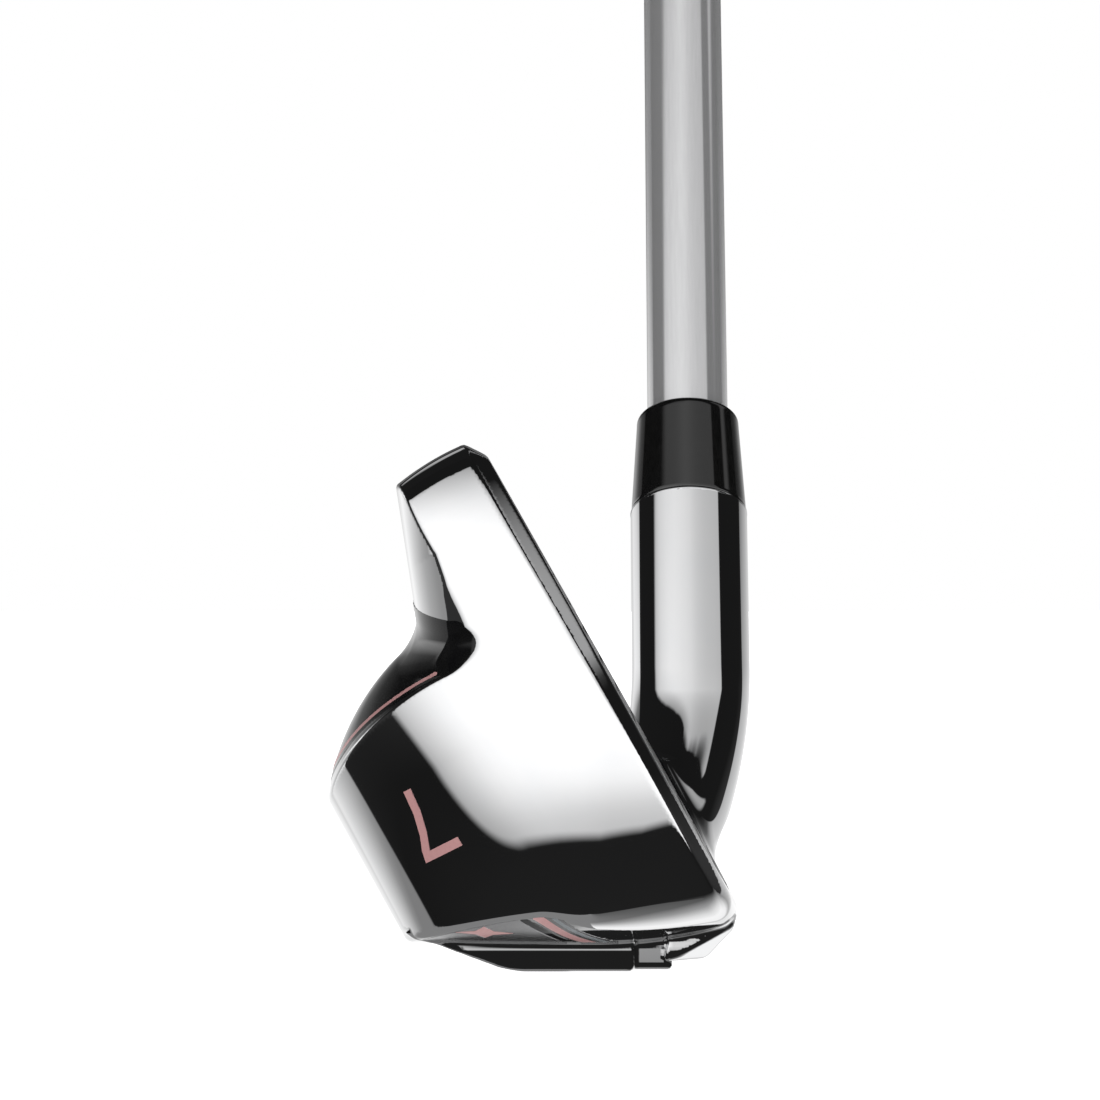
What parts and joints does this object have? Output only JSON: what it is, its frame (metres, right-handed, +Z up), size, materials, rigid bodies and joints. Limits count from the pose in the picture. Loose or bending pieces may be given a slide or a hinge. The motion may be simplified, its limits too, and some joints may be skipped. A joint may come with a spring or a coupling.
{
  "type": "iron golf club",
  "caption": "Wide-soled hollow iron golf club with a polished head, dark rear crown panel, black ferrule, smooth grey shaft and black rubber grip.",
  "frame": {"origin": "on the shaft axis at the middle of the hands' hold, 820 mm up the axis from the ground", "axes": "address pose: +X towards the target (the way the face looks), +Y from toe to heel, +Z up"},
  "size_m": [0.0514, 0.5154, 0.8209],
  "materials": {
    "chrome": "polished",
    "face_steel": "blasted satin",
    "gloss_black": "high gloss",
    "rose_gold": "satin",
    "silver_blue": "satin",
    "satin_nickel": "satin",
    "tungsten": "sintered",
    "elastomer": "matt",
    "ferrule_black": "polished",
    "epoxy": "cured",
    "shaft_grey": "lacquered",
    "brass": "turned",
    "plug_rubber": "matt",
    "grip_tape": "creped",
    "grip_rubber": "matt textured",
    "cap_rubber": "matt"
  },
  "bodies": {
    "root": {"head_body": "chrome", "face_plate": "face_steel", "crown_panel": "gloss_black", "crown_line": "rose_gold", "number_seven": "rose_gold", "sole_emblem": "rose_gold", "sole_stripe_rose": "rose_gold", "sole_stripe_silver": "silver_blue", "sole_band": "satin_nickel", "sole_badge_plate": "satin_nickel", "sole_groove_strip": "gloss_black", "toe_weight": "tungsten", "face_damper": "elastomer", "ferrule": "ferrule_black", "hosel_bond": "epoxy", "shaft": "shaft_grey", "tip_weight": "brass", "tip_plug": "plug_rubber", "grip_tape": "grip_tape", "grip_sleeve": "grip_rubber", "grip_cap": "cap_rubber"}
  },
  "joints": []
}
